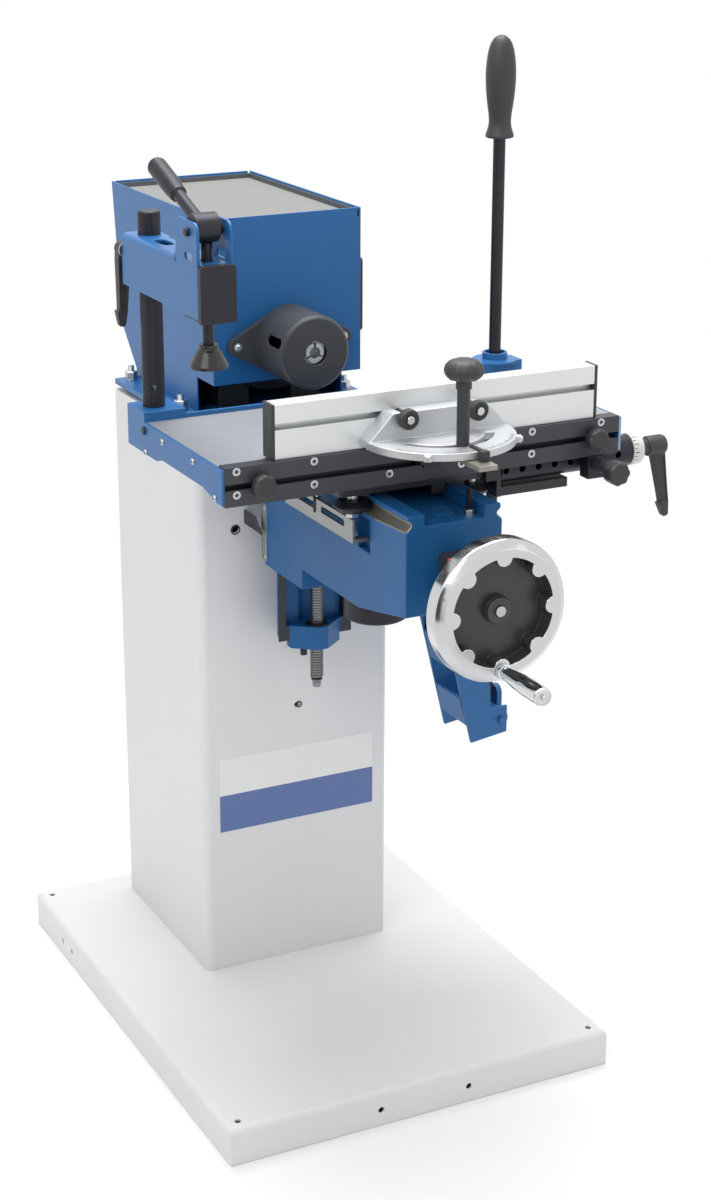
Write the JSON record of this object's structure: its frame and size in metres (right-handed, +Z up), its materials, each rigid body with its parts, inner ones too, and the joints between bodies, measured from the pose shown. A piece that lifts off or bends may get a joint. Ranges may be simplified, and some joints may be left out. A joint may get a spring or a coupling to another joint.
{
  "type": "horizontal slot mortiser",
  "caption": "Floor-standing slot mortiser: hooded motor and guarded chuck on a sheet column, cross-slide table on a V-way knee, with mitre fence, work clamp and hand lever.",
  "frame": {"origin": "middle of the base tray, at floor level", "axes": "+X to the operator's right along the front, +Y to the back, +Z up"},
  "size_m": [0.707, 1.105, 1.451],
  "materials": {
    "grey_enamel": "light grey gloss enamel on sheet steel",
    "blue_enamel": "mid blue gloss enamel",
    "black_enamel": "black semi-gloss enamel",
    "zinc_steel": "bright zinc or ground steel",
    "grey_iron": "machined grey iron",
    "bronze": "turned bronze",
    "cast_aluminium": "cast and milled aluminium",
    "polished_chrome": "polished",
    "black_plastic": "matt black moulding",
    "white_plastic": "white moulding",
    "green_plastic": "green moulding",
    "red_plastic": "red moulding",
    "black_rubber": "matt"
  },
  "bodies": {
    "stand": {"base_plate": "grey_enamel", "column": "grey_enamel", "top_plate": "blue_enamel", "levelling_bolts": "zinc_steel", "motor_hood": "blue_enamel", "motor_body": "black_enamel", "chuck_guard": "black_plastic", "slide_base": "grey_iron", "feed_nut": "bronze", "switch_box": "black_plastic"},
    "spindle": {"spindle_shaft": "zinc_steel", "chuck_body": "zinc_steel", "chuck_jaws": "zinc_steel"},
    "start": {"start_button": "green_plastic"},
    "stop": {"stop_button": "red_plastic"},
    "knee": {"knee_casting": "blue_enamel", "lever_bracket": "blue_enamel", "stop_rail": "zinc_steel", "bottom_drum": "black_enamel", "height_counter": "black_plastic"},
    "screw": {"lead_screw": "zinc_steel", "screw_gear": "zinc_steel"},
    "wheel": {"handwheel": "cast_aluminium", "handwheel_shaft": "zinc_steel", "shaft_gear": "zinc_steel"},
    "crank": {"crank_grip": "polished_chrome"},
    "saddle": {"saddle_plate": "grey_iron", "roller_bolts": "zinc_steel"},
    "front_left_roller": {"roller_front_left": "zinc_steel"},
    "front_right_roller": {"roller_front_right": "zinc_steel"},
    "rear_left_roller": {"roller_rear_left": "zinc_steel"},
    "rear_right_roller": {"roller_rear_right": "zinc_steel"},
    "index": {"index_tube": "black_enamel", "index_ring": "white_plastic"},
    "tube_clamp": {"tube_clamp_lever": "black_plastic"},
    "table": {"table_top": "cast_aluminium", "side_frame": "blue_enamel", "right_side_plate": "blue_enamel", "front_rail": "black_enamel", "lever_guide": "blue_enamel", "plunger_bracket": "black_enamel"},
    "plunger": {"index_plunger": "black_plastic"},
    "left_stop": {"left_stop_knob": "black_plastic"},
    "right_stop": {"right_stop_knob": "black_plastic"},
    "gauge_base": {"mitre_base": "grey_iron"},
    "gauge": {"mitre_gauge": "cast_aluminium", "fence_profile": "cast_aluminium", "thumb_knobs": "black_plastic"},
    "gauge_lock": {"gauge_lock_knob": "black_plastic"},
    "post": {"clamp_post": "zinc_steel"},
    "arm": {"clamp_arm": "blue_enamel", "arm_end_block": "black_plastic"},
    "arm_lock": {"arm_lock_lever": "black_plastic"},
    "cam": {"cam_lever": "black_enamel"},
    "clamp_rod": {"clamp_spindle": "zinc_steel", "clamp_foot": "black_rubber"},
    "yoke": {"lever_yoke": "blue_enamel"},
    "lever": {"control_lever": "black_enamel", "lever_grip": "black_plastic"}
  },
  "joints": [
    {"name": "spindle_spin", "type": "hinge", "parent": "stand", "child": "spindle", "pos_m": [0, -0.042, 1.023], "axis": [0, -1, 0], "continuous": true},
    {"name": "start_press", "type": "slide", "parent": "stand", "child": "start", "axis": [-1, 0, 0], "range_m": [0, 0.004], "stiffness_N_per_m": 800},
    {"name": "stop_press", "type": "slide", "parent": "stand", "child": "stop", "axis": [-1, 0, 0], "range_m": [0, 0.004], "stiffness_N_per_m": 800},
    {"name": "knee_lift", "type": "slide", "parent": "stand", "child": "knee", "axis": [0, 0, 1], "range_m": [-0.08, 0.04]},
    {"name": "handwheel_spin", "type": "hinge", "parent": "knee", "child": "wheel", "pos_m": [0, -0.56, 0.808], "axis": [0, -1, 0], "range_deg": [-7210, 3610]},
    {"name": "screw_spin", "type": "hinge", "parent": "knee", "child": "screw", "pos_m": [0, -0.047, 0.7], "axis": [0, 0, 1], "range_deg": [-7210, 3610]},
    {"name": "crank_spin", "type": "hinge", "parent": "wheel", "child": "crank", "pos_m": [0, -0.62, 0.732], "axis": [0, -1, 0], "continuous": true},
    {"name": "saddle_depth", "type": "slide", "parent": "knee", "child": "saddle", "axis": [0, 1, 0], "range_m": [-0.07, 0.03]},
    {"name": "front_left_roller_spin", "type": "hinge", "parent": "saddle", "child": "front_left_roller", "pos_m": [-0.08742, -0.336, 0.8935], "axis": [0, 0, 1], "range_deg": [-75, 170]},
    {"name": "front_right_roller_spin", "type": "hinge", "parent": "saddle", "child": "front_right_roller", "pos_m": [0.08742, -0.336, 0.8935], "axis": [0, 0, 1], "range_deg": [-170, 75]},
    {"name": "rear_left_roller_spin", "type": "hinge", "parent": "saddle", "child": "rear_left_roller", "pos_m": [-0.08742, -0.168, 0.8935], "axis": [0, 0, 1], "range_deg": [-75, 170]},
    {"name": "rear_right_roller_spin", "type": "hinge", "parent": "saddle", "child": "rear_right_roller", "pos_m": [0.08742, -0.168, 0.8935], "axis": [0, 0, 1], "range_deg": [-170, 75]},
    {"name": "index_turn", "type": "hinge", "parent": "saddle", "child": "index", "pos_m": [0.2, -0.34, 0.917], "axis": [1, 0, 0], "range_deg": [-120, 120]},
    {"name": "tube_clamp_swing", "type": "hinge", "parent": "index", "child": "tube_clamp", "pos_m": [0.36, -0.34, 0.917], "axis": [1, 0, 0], "range_deg": [-15, 15]},
    {"name": "table_cross", "type": "slide", "parent": "saddle", "child": "table", "axis": [1, 0, 0], "range_m": [-0.065, 0.065]},
    {"name": "plunger_pull", "type": "slide", "parent": "table", "child": "plunger", "axis": [0, -1, 0], "range_m": [0, 0.008], "stiffness_N_per_m": 600, "springref_m": -0.006},
    {"name": "left_stop_slide", "type": "slide", "parent": "table", "child": "left_stop", "axis": [1, 0, 0], "range_m": [-0.03, 0.1]},
    {"name": "right_stop_slide", "type": "slide", "parent": "table", "child": "right_stop", "axis": [1, 0, 0], "range_m": [-0.1, 0.02]},
    {"name": "gauge_slide", "type": "slide", "parent": "table", "child": "gauge_base", "axis": [1, 0, 0], "range_m": [-0.05, 0.06]},
    {"name": "gauge_swivel", "type": "hinge", "parent": "gauge_base", "child": "gauge", "pos_m": [0.002, -0.397, 0.985], "axis": [0, 0, 1], "range_deg": [-30, 30]},
    {"name": "gauge_lock_turn", "type": "hinge", "parent": "gauge_base", "child": "gauge_lock", "pos_m": [0.002, -0.463, 1], "axis": [0, 0, 1], "continuous": true},
    {"name": "post_swivel", "type": "hinge", "parent": "table", "child": "post", "pos_m": [-0.263, -0.095, 1], "axis": [0, 0, 1], "range_deg": [-30, 60]},
    {"name": "arm_height", "type": "slide", "parent": "post", "child": "arm", "axis": [0, 0, 1], "range_m": [-0.1, 0.02]},
    {"name": "arm_lock_swing", "type": "hinge", "parent": "arm", "child": "arm_lock", "pos_m": [-0.285, -0.06, 1.1962], "axis": [0, 1, 0], "range_deg": [-30, 30]},
    {"name": "cam_swing", "type": "hinge", "parent": "arm", "child": "cam", "pos_m": [-0.268, -0.297, 1.257], "axis": [1, 0, 0], "range_deg": [0, 110]},
    {"name": "clamp_press", "type": "slide", "parent": "arm", "child": "clamp_rod", "axis": [0, 0, -1], "range_m": [0, 0.0057]},
    {"name": "lever_side", "type": "hinge", "parent": "knee", "child": "yoke", "pos_m": [0.258, -0.1, 0.458], "axis": [0, 1, 0], "range_deg": [-7, 7]},
    {"name": "lever_depth", "type": "hinge", "parent": "yoke", "child": "lever", "pos_m": [0.258, -0.1, 0.486], "axis": [1, 0, 0], "range_deg": [-3.5, 8]}
  ],
  "couplings": [
    {"joint": "handwheel_spin", "follows": "knee_lift", "rad_per_m": 1570.8},
    {"joint": "screw_spin", "follows": "knee_lift", "rad_per_m": 1570.8},
    {"joint": "front_left_roller_spin", "follows": "saddle_depth", "rad_per_m": -41.667},
    {"joint": "front_right_roller_spin", "follows": "saddle_depth", "rad_per_m": 41.667},
    {"joint": "rear_left_roller_spin", "follows": "saddle_depth", "rad_per_m": -41.667},
    {"joint": "rear_right_roller_spin", "follows": "saddle_depth", "rad_per_m": 41.667},
    {"joint": "clamp_press", "follows": "cam_swing", "m_per_rad": 0.002917},
    {"joint": "lever_side", "follows": "table_cross", "rad_per_m": 1.8349},
    {"joint": "lever_depth", "follows": "saddle_depth", "rad_per_m": -1.934}
  ]
}
